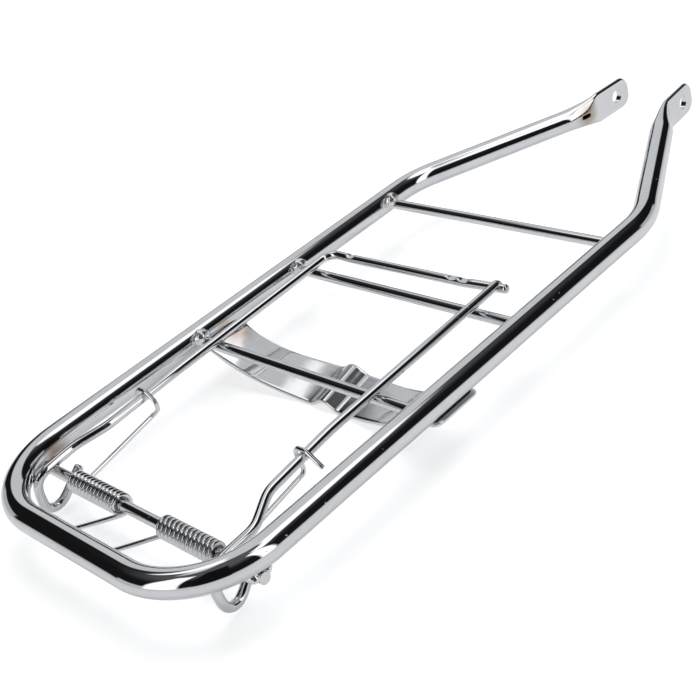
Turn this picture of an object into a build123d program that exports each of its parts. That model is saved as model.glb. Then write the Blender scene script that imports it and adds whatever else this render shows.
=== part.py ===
from build123d import *
import math
import os

os.makedirs("parts", exist_ok=True)

# Luggage rack for a small motorcycle, with a sprung wire clamp that holds the load down.
# Sizes are millimetres. X runs across the rack, Y forwards and Z up, and X = 0 is the
# middle plane. Y is measured from the centreline of the rear tube while the pieces are
# drawn, and save() then moves them so that the origin lies on the front bolt's axis.

# Frame tube: one U with its front ends pressed flat into two bolt ears. It is drawn as
# three lengths that meet end to end: the rear bow and the two side tubes.
tube_diameter = 14.0
tube_wall = 1.5
frame_width = 170.0
rear_corner_radius = 46.0
rear_bow_depth = 60.0
side_length = 332.0
arm_bend_radius = 30.0
bolt_reach = 468.0

# Bolt ears
ear_spacing = 49.2
ear_toe_in = 5.4
ear_thickness = 3.4
ear_height = 20.0
ear_end_reach = 12.0
ear_corner_radius = 7.0
ear_knuckle_back = 22.7
press_length_round = 19.0
press_length_flat = 5.0
press_slit = 0.5
press_crown = 0.05
bolt_hole_diameter = 8.5
vent_width = 2.8
vent_length = 7.0
vent_back = 9.0

# Cross rods between the side tubes
rod_diameter = 6.0
rod_lift = 1.0
rear_rod_y = 143.0
middle_rod_y = 221.0
front_rod_back = 29.4

# Pivot rod under the side tubes, which carries the clamp and its springs
pivot_y = 35.2
pivot_rod_diameter = 6.0
pivot_rod_overhang = 2.75

# Clamp bail: a bent wire with an open eye at each end. Its front bar runs from the bent
# left corner to the right leg, which is welded on top of it just short of the bar's end.
bail_diameter = 5.0
bail_inset = 25.9
bail_left_corner_y = 232.0
bail_right_end_y = 238.6
bail_front_lift = 9.2
bail_corner_radius = 7.5
bail_knee_y = 110.0
bail_knee_radius = 150.0
bail_crank_y = 72.0
bail_crank_spread = 1.2
bail_crank_drop = 3.4
bail_crank_radius = 14.0
bar_right_y = 237.2
bar_right_drop = 1.6
bar_stub_length = 6.6
bar_left_kink_inset = 17.6
bar_left_kink_y = 231.5
bar_left_kink_drop = 0.1
bar_right_kink_inset = 21.1
bar_right_kink_y = 234.8
bar_right_kink_rise = 0.3
bar_kink_radius = 10.0
bail_weld_radius = 3.1

# Eyes of the bail, which hook round the pivot rod
eye_top_inset = 16.3
eye_foot_inset = 13.0
eye_behind = 14.6
eye_top_gap = 0.8
eye_shoulder_forward = 14.8
eye_shoulder_rise = 2.2
eye_shoulder_out = 0.4
eye_height = 21.6
eye_foot_length = 8.1
eye_foot_lean = 0.8
eye_top_radius = 8.5
eye_foot_radius = 5.5
eye_tail_forward = 10.2
eye_tail_drop = 1.6
eye_tail_lean = 2.8

# Torsion springs on the pivot rod
spring_wire_diameter = 2.4
spring_mean_radius = 4.7
spring_turns = 13
spring_pitch = 3.1
spring_reach = 43.3
spring_arm_slope = 9.4
spring_tail_slope = 24.1
hook_left_y = 89.0
hook_right_y = 91.5
hook_bend_radius = 3.0
hook_leg_drop = 1.6

# Mudguard bracket: a dished strip of sheet under both side tubes
sheet_thickness = 2.0
bracket_overhang = 6.0
bracket_rear_y = 151.0
bracket_front_y = 178.0
bracket_rear_depth = 21.5
bracket_front_depth = 16.0
bracket_flange = 11.5
bracket_corner_radius = 5.0
bracket_front_flare = 1.0
bracket_front_waist = 2.6
bracket_front_bulge = 2.0
bracket_rear_flare = 5.0
bracket_rear_waist = 1.4
bracket_rear_notch = 1.5
ridge_width = 18.0
ridge_height = 4.2

# Welds
rod_weld_radius = 4.6
rod_weld_length = 8.6
pivot_weld_radius = 3.0
pivot_weld_length = 9.0
pivot_weld_spread = 0.7
pivot_weld_drop = 0.9
bracket_weld_radius = 2.4
bracket_weld_length = 9.0
bracket_weld_inset = 5.25
bracket_weld_lift = 0.7
bracket_weld_margin = 6.0

# Clearances
seat_gap = 0.1
moving_gap = 0.3

tube_radius = tube_diameter / 2
rod_radius = rod_diameter / 2
bail_radius = bail_diameter / 2
spring_radius = spring_wire_diameter / 2
side_x = frame_width / 2
ear_x = ear_spacing / 2
bail_x = side_x - bail_inset
spring_inner_x = bail_x - spring_reach
bracket_x = side_x + bracket_overhang
front_rod_y = side_length - front_rod_back
pivot_z = -tube_radius - seat_gap - pivot_rod_diameter / 2

# The spring's arms leave its coil through a short lead that keeps them square to the rod.
spring_turn_length = math.hypot(spring_pitch, 2 * math.pi * spring_mean_radius)
spring_lead = spring_wire_diameter
spring_lead_shift = spring_lead * spring_pitch / spring_turn_length


def swept(path, radius):
    """Sweep a round section along a path that has no sharp corner."""
    section = Plane(origin=path @ 0, z_dir=path % 0) * Circle(radius)
    return sweep(section, path=path)


def rod_along_x(diameter, length, y, z, x=0.0):
    """Round bar across the rack, centred on x."""
    return Pos(x, y, z) * Rot(0, 90, 0) * Cylinder(diameter / 2, length)


def rod_along_y(diameter, length, x, y, z):
    """Round bar along the rack, centred on y."""
    return Pos(x, y, z) * Rot(90, 0, 0) * Cylinder(diameter / 2, length)


def on_both_sides(shape):
    """The shape and its mirror image across the middle plane."""
    return [shape, mirror(shape, about=Plane.YZ)]


def save(node, shape):
    """Move a drawn piece to the bolt axis and write it."""
    export_step(Pos(0, -bolt_reach, 0) * shape, "parts/" + node + ".step")


# The right side tube turns in at its front to the knuckle, where the ear takes over.
toe = math.radians(ear_toe_in)
ear_direction = Vector(-math.sin(toe), math.cos(toe), 0)
bolt_point = Vector(ear_x, bolt_reach, 0)
knuckle = bolt_point - ear_direction * (ear_knuckle_back / math.cos(toe))
arm_start = Vector(side_x, side_length, 0)
arm_direction = (knuckle - arm_start).normalized()
round_end = knuckle - arm_direction * press_length_round
flat_start = knuckle + ear_direction * press_length_flat
press_middle = (round_end + knuckle * 2 + flat_start) * 0.25
press_direction = (flat_start - round_end).normalized()


def pressed_section(centre, direction, radius, half_gap, edge_height, flatness):
    """Tube section between round (flatness 0) and pressed flat (flatness 1)."""
    round_shape = (radius, radius, radius / 2, radius * math.sqrt(3) / 2)
    flat_shape = (half_gap + press_crown, edge_height, half_gap, edge_height - half_gap)
    blend = []
    for round_value, flat_value in zip(round_shape, flat_shape):
        blend.append(round_value * (1 - flatness) + flat_value * flatness)
    side, top, corner_x, corner_y = blend
    plane = Plane(origin=centre, x_dir=direction.cross(Vector(0, 0, 1)), z_dir=direction)
    outline = [
        ThreePointArc((-corner_x, corner_y), (0, top), (corner_x, corner_y)),
        ThreePointArc((corner_x, corner_y), (side, 0), (corner_x, -corner_y)),
        ThreePointArc((corner_x, -corner_y), (0, -top), (-corner_x, -corner_y)),
        ThreePointArc((-corner_x, -corner_y), (-side, 0), (-corner_x, corner_y)),
    ]
    return plane * make_face(outline)


def pressed_end(radius, half_gap, edge_height):
    """Right-hand end of the tube, from its round section to its flat one."""
    sections = []
    for centre, direction, flatness in (
        (round_end, arm_direction, 0.0),
        (press_middle, press_direction, 0.5),
        (flat_start, ear_direction, 1.0),
    ):
        sections.append(
            pressed_section(centre, direction, radius, half_gap, edge_height, flatness)
        )
    return loft(sections)


def bow_path():
    """Centreline of the rear bow, from one side tube to the other."""
    return FilletPolyline(
        (-side_x, rear_bow_depth, 0),
        (-side_x, 0, 0),
        (side_x, 0, 0),
        (side_x, rear_bow_depth, 0),
        radius=rear_corner_radius,
    )


def side_path():
    """Centreline of the round part of the right side tube, from its front backwards."""
    return FilletPolyline(
        round_end,
        (side_x, side_length, 0),
        (side_x, rear_bow_depth, 0),
        radius=arm_bend_radius,
    )


def bolt_ear():
    """Right-hand ear: the pressed tube run on as a plate with rounded corners."""
    half_gap = ear_thickness / 2
    start = pressed_section(
        flat_start, ear_direction, tube_radius, half_gap, ear_height / 2, 1.0
    )
    ear_length = ear_knuckle_back - press_length_flat + ear_end_reach
    strip = extrude(start, ear_length, dir=ear_direction)
    side_plane = Plane(origin=bolt_point, x_dir=ear_direction, z_dir=(1, 0, 0))
    front = ear_end_reach
    back = -ear_knuckle_back - press_length_round
    outline = Rectangle(front - back, ear_height * 1.1)
    outline = Pos((front + back) / 2, 0) * outline
    corners = outline.vertices().sort_by(Axis.X)[-2:]
    outline = fillet(corners, ear_corner_radius)
    profile = extrude(side_plane * outline, ear_thickness * 2, both=True)
    return strip & profile


def vent_hole():
    """Slot on the inner flank of the right arm, just behind the pressed part."""
    centre = knuckle - arm_direction * vent_back
    plane = Plane(origin=centre, x_dir=arm_direction, z_dir=(-1, 0, 0))
    return extrude(plane * SlotOverall(vent_length, vent_width), tube_diameter)


def spring_tail_end():
    """Where the fixed end of the right spring stops, inside the rear tube."""
    slope = math.radians(spring_tail_slope)
    leave_y = pivot_y - spring_mean_radius * math.sin(slope)
    leave_z = pivot_z - spring_mean_radius * math.cos(slope)
    end_y = tube_radius - tube_wall * 2
    return Vector(spring_inner_x, end_y, leave_z + (leave_y - end_y) * math.tan(slope))


def spring_tail_hole():
    """Drilled hole in the rear tube for the fixed end of the right spring."""
    slope = math.radians(spring_tail_slope)
    direction = Vector(0, math.cos(slope), -math.sin(slope))
    plane = Plane(origin=spring_tail_end(), z_dir=direction)
    hole_radius = spring_radius + moving_gap
    return extrude(plane * Circle(hole_radius), tube_radius)


def rear_bow():
    """The bent rear of the frame, drilled for the fixed ends of the springs."""
    outside = swept(bow_path(), tube_radius)
    inside = swept(bow_path(), tube_radius - tube_wall)
    return trimmed(outside, [inside] + on_both_sides(spring_tail_hole()))


def side_bar(radius, half_gap, edge_height):
    """Right side tube as a solid bar, with its pressed end but without the ear."""
    section = pressed_section(
        round_end, arm_direction, radius, half_gap, edge_height, 0.0
    )
    bar = sweep(section, path=side_path())
    return bar + pressed_end(radius, half_gap, edge_height)


def side_tube():
    """Right side tube, with its bolt ear and all its holes."""
    outside = side_bar(tube_radius, ear_thickness / 2, ear_height / 2) + bolt_ear()
    bore_radius = tube_radius - tube_wall
    inside = side_bar(bore_radius, press_slit / 2, ear_height / 2 - tube_wall)
    bolt_hole = rod_along_x(bolt_hole_diameter, ear_spacing * 2, bolt_reach, 0)
    return trimmed(outside, [inside, bolt_hole, vent_hole()])


def side_tube_cutters(extra):
    """Both side tubes as plain bars, a little oversize, to trim what seats on them."""
    bar = rod_along_y(tube_diameter + extra * 2, side_length, side_x, side_length / 2, 0)
    return on_both_sides(bar)


def trimmed(shape, cutters):
    """The shape without what the cutters take away."""
    for cutter in cutters:
        shape -= cutter
    return shape


def cross_rod(y):
    """Straight rod whose ends butt the inner walls of the side tubes."""
    rod = rod_along_x(rod_diameter, frame_width - tube_radius, y, rod_lift)
    return trimmed(rod, side_tube_cutters(seat_gap))


def pivot_rod():
    """Straight rod under both side tubes."""
    length = frame_width + pivot_rod_overhang * 2
    return rod_along_x(pivot_rod_diameter, length, pivot_y, pivot_z)


def round_ended(length, radius):
    """Short round bead along X with softly rounded ends."""
    bead = Rot(0, 90, 0) * Cylinder(radius, length)
    return fillet(bead.edges().filter_by(GeomType.CIRCLE), radius * 0.7)


def flat_cutter(x, y, low_z):
    """Block that starts at low_z and cuts a bead flat under or over the tube."""
    return Pos(x, y, low_z + tube_diameter / 2) * Box(*[tube_diameter] * 3)


def rod_weld(y):
    """Weld collar round the right-hand end of a cross rod."""
    collar = round_ended(rod_weld_length, rod_weld_radius)
    collar = Pos(side_x - tube_radius, y, rod_lift) * collar
    core = rod_along_x(rod_diameter + seat_gap * 2, frame_width, y, rod_lift)
    return trimmed(collar, side_tube_cutters(seat_gap) + [core])


def pivot_weld(step):
    """Weld bead beside the pivot rod, under the right side tube."""
    bead_y = pivot_y + step * (pivot_rod_diameter / 2 + pivot_weld_spread)
    bead_z = -tube_radius - pivot_weld_drop
    corner_reach = max(0, rear_corner_radius - pivot_y)
    tube_x = side_x - rear_corner_radius
    tube_x += math.sqrt(rear_corner_radius ** 2 - corner_reach ** 2)
    bead = Pos(tube_x, bead_y, bead_z) * round_ended(pivot_weld_length, pivot_weld_radius)
    core_size = pivot_rod_diameter + seat_gap * 2
    core = rod_along_x(core_size, frame_width * 2, pivot_y, pivot_z)
    above = flat_cutter(tube_x, pivot_y, -tube_radius - seat_gap)
    return trimmed(bead, [above, core])


def bracket_weld(y):
    """Weld bead in the corner between the right side tube and the bracket's flange."""
    bead_x = side_x - bracket_weld_inset
    bead_z = -tube_radius + bracket_weld_lift
    bead = round_ended(bracket_weld_length, bracket_weld_radius)
    bead = Pos(bead_x, y, bead_z) * Rot(0, 0, 90) * bead
    below = flat_cutter(bead_x, y, -tube_radius - tube_diameter)
    return trimmed(bead, side_tube_cutters(seat_gap) + [below])


def strip_section(y, depth):
    """Section of the bracket across the rack: flanges, shallow dish and middle ridge."""
    top_z = -tube_radius - seat_gap
    bottom_z = top_z - sheet_thickness
    ridge_half = ridge_width / 2
    bend_x = bracket_x - bracket_flange
    dish_z = -depth
    radius = (bend_x ** 2 + depth ** 2) / (2 * depth)
    foot_z = dish_z + radius - math.sqrt(radius ** 2 - ridge_half ** 2)
    crown_z = foot_z + ridge_height
    quarter_x = (bend_x + ridge_half) / 2
    quarter_z = dish_z + radius - math.sqrt(radius ** 2 - quarter_x ** 2)
    edges = []
    for level in (top_z, bottom_z):
        for side in (-1, 1):
            edges.append(Line((side * bracket_x, level), (side * bend_x, level)))
            edges.append(
                ThreePointArc(
                    (side * bend_x, level),
                    (side * quarter_x, level + quarter_z),
                    (side * ridge_half, level + foot_z),
                )
            )
            edges.append(
                Line((side * ridge_half, level + foot_z), (0, level + crown_z))
            )
    for side in (-1, 1):
        edges.append(Line((side * bracket_x, top_z), (side * bracket_x, bottom_z)))
    return Plane(origin=(0, y, 0), x_dir=(1, 0, 0), z_dir=(0, -1, 0)) * make_face(edges)


def bracket_envelope():
    """The bracket before its outline is cut, a little longer along the rack."""
    tilt = (bracket_front_depth - bracket_rear_depth) / (bracket_front_y - bracket_rear_y)
    spare = bracket_flange
    rear_depth = bracket_rear_depth - tilt * spare
    front_depth = bracket_front_depth + tilt * spare
    rear = strip_section(bracket_rear_y - spare, rear_depth)
    front = strip_section(bracket_front_y + spare, front_depth)
    return loft([rear, front], ruled=True)


def bracket_outline():
    """Outline of the bracket seen from above."""
    half = bracket_x
    front = Spline(
        (-half, bracket_front_y + bracket_front_flare),
        (-half / 2, bracket_front_y - bracket_front_waist),
        (0, bracket_front_y + bracket_front_bulge),
        (half / 2, bracket_front_y - bracket_front_waist),
        (half, bracket_front_y + bracket_front_flare),
    )
    rear = Spline(
        (-half, bracket_rear_y - bracket_rear_flare),
        (-half / 2, bracket_rear_y - bracket_rear_waist),
        (0, bracket_rear_y + bracket_rear_notch),
        (half / 2, bracket_rear_y - bracket_rear_waist),
        (half, bracket_rear_y - bracket_rear_flare),
    )
    ends = [Line(front @ 0, rear @ 0), Line(front @ 1, rear @ 1)]
    outline = make_face([front, rear] + ends)
    return fillet(outline.vertices(), bracket_corner_radius)


def mudguard_bracket():
    """Dished strip that the mudguard is bolted up against."""
    outline = extrude(bracket_outline(), frame_width, both=True)
    return bracket_envelope() & outline


def bail_leg_height(y):
    """Height of the leg's centreline ahead of its knee, where it rests on a rod."""
    rest_z = rod_lift + rod_radius + bail_radius + moving_gap
    rise = (bail_front_lift - rest_z) / (bail_left_corner_y - rear_rod_y)
    return rest_z + rise * (y - rear_rod_y)


def bail_leg(front_y):
    """Vertices of the right-hand leg and eye, from the front to the tail, with radii."""
    top_x = side_x - eye_top_inset
    shoulder_x = top_x + eye_shoulder_out
    shoulder_y = pivot_y + eye_shoulder_forward
    foot_x = side_x - eye_foot_inset
    knee_z = bail_leg_height(bail_knee_y)
    crank_z = knee_z - bail_crank_drop
    top_z = pivot_z + pivot_rod_diameter / 2 + bail_radius + eye_top_gap
    back_y = pivot_y - eye_behind
    foot_z = top_z - eye_height
    toe_x = foot_x - eye_foot_lean
    tail_x = foot_x - eye_tail_lean
    tail_z = pivot_z - eye_tail_drop
    return [
        (Vector(bail_x, front_y, bail_leg_height(front_y)), bail_corner_radius),
        (Vector(bail_x, bail_knee_y, knee_z), bail_knee_radius),
        (Vector(bail_x + bail_crank_spread, bail_crank_y, crank_z), bail_crank_radius),
        (Vector(shoulder_x, shoulder_y, top_z + eye_shoulder_rise), bail_crank_radius),
        (Vector(top_x, back_y, top_z), eye_top_radius),
        (Vector(foot_x, back_y, foot_z), eye_foot_radius),
        (Vector(toe_x, back_y + eye_foot_length, foot_z), eye_foot_radius),
        (Vector(tail_x, pivot_y + eye_tail_forward, tail_z), None),
    ]


def bail_bar():
    """Vertices of the front bar, from its left kink to the stub past the right leg."""
    left_z = bail_leg_height(bail_left_corner_y)
    right_z = left_z - bar_right_drop
    joint = Vector(bail_x, bar_right_y, right_z)
    left_kink_z = left_z - bar_left_kink_drop
    right_kink_z = right_z + bar_right_kink_rise
    left_kink = Vector(bar_left_kink_inset - bail_x, bar_left_kink_y, left_kink_z)
    right_kink = Vector(bail_x - bar_right_kink_inset, bar_right_kink_y, right_kink_z)
    stub_direction = (joint - right_kink).normalized()
    return [left_kink, right_kink, joint + stub_direction * bar_stub_length]


def clamp_bail():
    """The clamp wire: left eye, leg and bar in one, and the right leg welded to it."""
    leg = bail_leg(bail_left_corner_y)
    left_points = [Vector(-point.X, point.Y, point.Z) for point, radius in reversed(leg)]
    left_radii = [radius for point, radius in reversed(leg[:-1])]
    bar = bail_bar()
    radii = left_radii + [bar_kink_radius] * 2
    wire = swept(FilletPolyline(*left_points, *bar, radius=radii), bail_radius)
    right = bail_leg(bail_right_end_y)
    right_radii = [radius for point, radius in right[1:-1]]
    right_path = FilletPolyline(*[point for point, radius in right], radius=right_radii)
    wire += swept(right_path, bail_radius)
    joint_z = bail_leg_height(bar_right_y) - bar_right_drop / 2
    return wire + Pos(bail_x, bar_right_y, joint_z) * Sphere(bail_weld_radius)


def bail_leg_x(y):
    """Distance of the right leg from the middle plane between its knee and crank."""
    return bail_x + bail_crank_spread * (bail_knee_y - y) / (bail_knee_y - bail_crank_y)


def torsion_spring(hook_y, hook_shape):
    """Right-hand spring: fixed tail, coil on the pivot rod, long arm and hook.

    The hook's shape is a list of steps across and up from the centre of the bail's leg.
    """
    tail_slope = math.radians(spring_tail_slope)
    arm_slope = math.radians(spring_arm_slope)
    turned = spring_turns + (spring_tail_slope + spring_arm_slope) / 360
    axis_plane = Plane(
        origin=(spring_inner_x + spring_lead_shift, pivot_y, pivot_z),
        x_dir=(0, -math.sin(tail_slope), -math.cos(tail_slope)),
        z_dir=(1, 0, 0),
    )
    coil = axis_plane * Helix(spring_pitch, spring_pitch * turned, spring_mean_radius)
    tail_corner = coil @ 0 - (coil % 0) * spring_lead
    arm_corner = coil @ 1 + (coil % 1) * spring_lead
    tail = FilletPolyline(
        spring_tail_end(), tail_corner, coil @ 0, radius=[spring_lead * 2]
    )
    arm_rise = (hook_y - pivot_y) * math.tan(arm_slope)
    hook = [Vector(arm_corner.X, hook_y, pivot_z - spring_mean_radius + arm_rise)]
    leg = Vector(bail_leg_x(hook_y), hook_y, bail_leg_height(bail_knee_y) - hook_leg_drop)
    for across, up in hook_shape:
        hook.append(leg + Vector(across, 0, up))
    arm_radii = [spring_lead * 2] + [hook_bend_radius] * (len(hook) - 1)
    arm = FilletPolyline(coil @ 1, arm_corner, *hook, radius=arm_radii)
    return swept(Wire(tail.edges() + coil.edges() + arm.edges()), spring_radius)


def left_spring():
    """Left spring: its hook bulges inboard, then curls down outside the leg."""
    over = bail_radius + spring_radius + moving_gap
    shape = [(-9.2, -5.4), (-9.4, -0.6), (-3.0, over), (2.6, over), (7.7, -1.9)]
    return mirror(torsion_spring(hook_left_y, shape), about=Plane.YZ)


def right_spring():
    """Right spring: its hook stays close to the leg and ends in a straight tail."""
    over = bail_radius + spring_radius + moving_gap
    shape = [(-5.3, over - 3.1), (-2.6, over), (3.2, over), (12.2, -2.6)]
    return torsion_spring(hook_right_y, shape)


def weld_beads():
    """Every weld as its own solid, on both sides of the rack."""
    right_welds = [rod_weld(y) for y in (rear_rod_y, middle_rod_y, front_rod_y)]
    right_welds += [pivot_weld(-1), pivot_weld(1)]
    right_welds.append(bracket_weld(bracket_rear_y + bracket_weld_margin))
    right_welds.append(bracket_weld(bracket_front_y - bracket_weld_margin))
    beads = []
    for weld in right_welds:
        for copy in on_both_sides(weld):
            beads += copy.solids()
    return Compound(children=beads)


save("rear_bow", rear_bow())
save("right_side_tube", side_tube())
save("left_side_tube", mirror(side_tube(), about=Plane.YZ))
save("rear_cross_rod", cross_rod(rear_rod_y))
save("middle_cross_rod", cross_rod(middle_rod_y))
save("front_cross_rod", cross_rod(front_rod_y))
save("pivot_rod", pivot_rod())
save("mudguard_bracket", mudguard_bracket())
save("clamp_bail", clamp_bail())
save("right_spring", right_spring())
save("left_spring", left_spring())
save("weld_beads", weld_beads())
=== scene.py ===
import math

import bpy
from mathutils import Matrix, Vector, noise


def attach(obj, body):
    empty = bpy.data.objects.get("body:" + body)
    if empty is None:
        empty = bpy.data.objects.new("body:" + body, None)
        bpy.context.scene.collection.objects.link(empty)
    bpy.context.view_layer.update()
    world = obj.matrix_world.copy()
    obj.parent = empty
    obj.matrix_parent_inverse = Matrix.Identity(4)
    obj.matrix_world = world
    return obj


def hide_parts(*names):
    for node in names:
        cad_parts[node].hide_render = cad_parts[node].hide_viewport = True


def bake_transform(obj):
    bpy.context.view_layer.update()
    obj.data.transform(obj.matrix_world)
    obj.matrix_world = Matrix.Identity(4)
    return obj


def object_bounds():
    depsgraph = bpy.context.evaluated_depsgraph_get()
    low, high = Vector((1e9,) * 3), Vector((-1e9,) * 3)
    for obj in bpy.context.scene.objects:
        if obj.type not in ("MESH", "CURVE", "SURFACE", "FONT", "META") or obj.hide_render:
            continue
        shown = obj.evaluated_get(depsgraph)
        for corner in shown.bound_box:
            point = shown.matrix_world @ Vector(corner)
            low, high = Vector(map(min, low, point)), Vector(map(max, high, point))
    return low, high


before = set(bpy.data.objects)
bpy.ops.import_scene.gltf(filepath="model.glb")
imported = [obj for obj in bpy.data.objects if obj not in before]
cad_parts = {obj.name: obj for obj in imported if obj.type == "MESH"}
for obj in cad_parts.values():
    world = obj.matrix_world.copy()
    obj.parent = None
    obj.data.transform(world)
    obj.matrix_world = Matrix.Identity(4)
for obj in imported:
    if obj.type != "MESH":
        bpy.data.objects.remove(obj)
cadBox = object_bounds()
print("frame loaded:", len(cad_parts), "nodes")

# Lengths below are millimetres with Y measured from the rear tube's centreline.
# atFrame() turns them into metres in the frame of the CAD, whose origin is the bolt axis.
boltReach = 468.0


def atFrame(point):
    return Vector((point[0], point[1] - boltReach, point[2])) * 0.001


def hexColour(text):
    # sRGB hex to linear RGBA
    channels = [int(text[i:i + 2], 16) / 255 for i in (1, 3, 5)]
    linear = [c / 12.92 if c <= 0.04045 else ((c + 0.055) / 1.055) ** 2.4 for c in channels]
    return (*linear, 1.0)


def addNode(tree, kind, inputs=None, **settings):
    # one node, its settings, and its sockets as values or links
    node = tree.nodes.new("ShaderNode" + kind)
    for key, value in settings.items():
        setattr(node, key, value)
    for socket, value in (inputs or {}).items():
        if isinstance(value, bpy.types.NodeSocket):
            tree.links.new(value, node.inputs[socket])
        else:
            node.inputs[socket].default_value = value
    return node


def emptyTree(owner):
    owner.use_nodes = True
    owner.node_tree.nodes.clear()
    return owner.node_tree


cameraSetup = {
    "azimuth": -0.649340,      # radians, from the object to the camera
    "elevation": 0.539196,
    "roll": -0.298907,
    "distance": 687.050,
    "offset": (-31.097, -34.386),
    "target": (0.0, 230.0, 0.0),
    "focalPixels": 1263.514,
    "imagePixels": 700,
    "sensor": 36.0,
}


def makeCamera(setup):
    a, e, roll = setup["azimuth"], setup["elevation"], setup["roll"]
    back = Vector((math.cos(a) * math.cos(e), math.sin(a) * math.cos(e), math.sin(e)))
    right = Vector((-math.sin(a), math.cos(a), 0))
    up = back.cross(right)
    turnedRight = right * math.cos(roll) + up * math.sin(roll)
    turnedUp = up * math.cos(roll) - right * math.sin(roll)
    place = Vector(setup["target"]) + back * setup["distance"]
    place += turnedRight * setup["offset"][0] + turnedUp * setup["offset"][1]
    data = bpy.data.cameras.new("camera")
    data.sensor_width = setup["sensor"]
    data.lens = setup["focalPixels"] * setup["sensor"] / setup["imagePixels"]
    data.clip_start = 0.01
    data.clip_end = 100
    camera = bpy.data.objects.new("camera", data)
    turn = Matrix((turnedRight, turnedUp, back)).transposed().to_4x4()
    camera.matrix_world = Matrix.Translation(atFrame(place)) @ turn
    bpy.context.scene.collection.objects.link(camera)
    bpy.context.scene.camera = camera


makeCamera(cameraSetup)
print("camera placed")

# A pale table in a dark room with soft boxes, which is what the chrome mirrors.
# Angles are degrees, with azimuth 0 along +X and 90 along +Y.
studio = {
    "roomLow": "#171718",
    "roomHigh": "#58585a",
    "roomRamp": (36.0, 68.0),
    "tableEdge": "#c4c6c8",
    "tableEdgeTop": 4.0,
    "edgeSoftness": 2.0,
    "panels": [
        # the far edge of the table, which stands a little higher in three places
        {"azimuth": 65, "halfWidth": 16, "low": -5, "high": 14, "colour": "#b9bbbd", "strength": 1.0},
        {"azimuth": -165, "halfWidth": 15, "low": -5, "high": 17, "colour": "#b9bbbd", "strength": 1.0},
        {"azimuth": -120, "halfWidth": 14, "low": -5, "high": 12, "colour": "#c4c6c8", "strength": 1.0},
        # soft boxes and a pale wall
        {"azimuth": 68, "halfWidth": 46, "low": 58, "high": 73, "colour": "#ffffff", "strength": 1.4},
        {"azimuth": 11, "halfWidth": 8, "low": 2, "high": 66, "colour": "#ffffff", "strength": 1.5},
        {"azimuth": 134, "halfWidth": 25, "low": -20, "high": 77, "colour": "#d2d4d6", "strength": 1.0,
         "soft": 3.0},
        # the dark gap between the table and the pale wall
        {"azimuth": 134, "halfWidth": 34, "low": -8, "high": 9, "colour": "#1c1c1d", "strength": 1.0},
        {"azimuth": 168, "halfWidth": 15, "low": 53, "high": 76, "colour": "#ffffff", "strength": 1.3},
        {"azimuth": -91, "halfWidth": 16, "low": -20, "high": 64, "colour": "#ffffff", "strength": 1.3},
        {"azimuth": -160, "halfWidth": 26, "low": 70, "high": 80, "colour": "#ffffff", "strength": 0.8,
         "soft": 4.0},
        # the dark side where the camera stands
        {"azimuth": -44, "halfWidth": 18, "low": 1, "high": 70, "colour": "#131314", "strength": 1.0},
    ],
}

tableTop = {
    "size": 30.0,               # metres
    "sink": 0.0003,
    "colour": "#f1f2f3",
    "cameraLift": 0.6,          # share of white that the camera sees without any light
    "mirrorNear": 0.21,         # the same for what the chrome sees, close by and far off
    "mirrorFar": 0.1,
    "mirrorMiddle": (0.0, -0.27, 0.0),
    "mirrorReach": (0.2, 0.7),  # metres from the middle
}

softBox = {
    "size": 1.4,
    "place": (-0.2, 0.3, 1.7),
    "aim": (0.0, -0.23, 0.0),
    "watts": 11.0,
}


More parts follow.
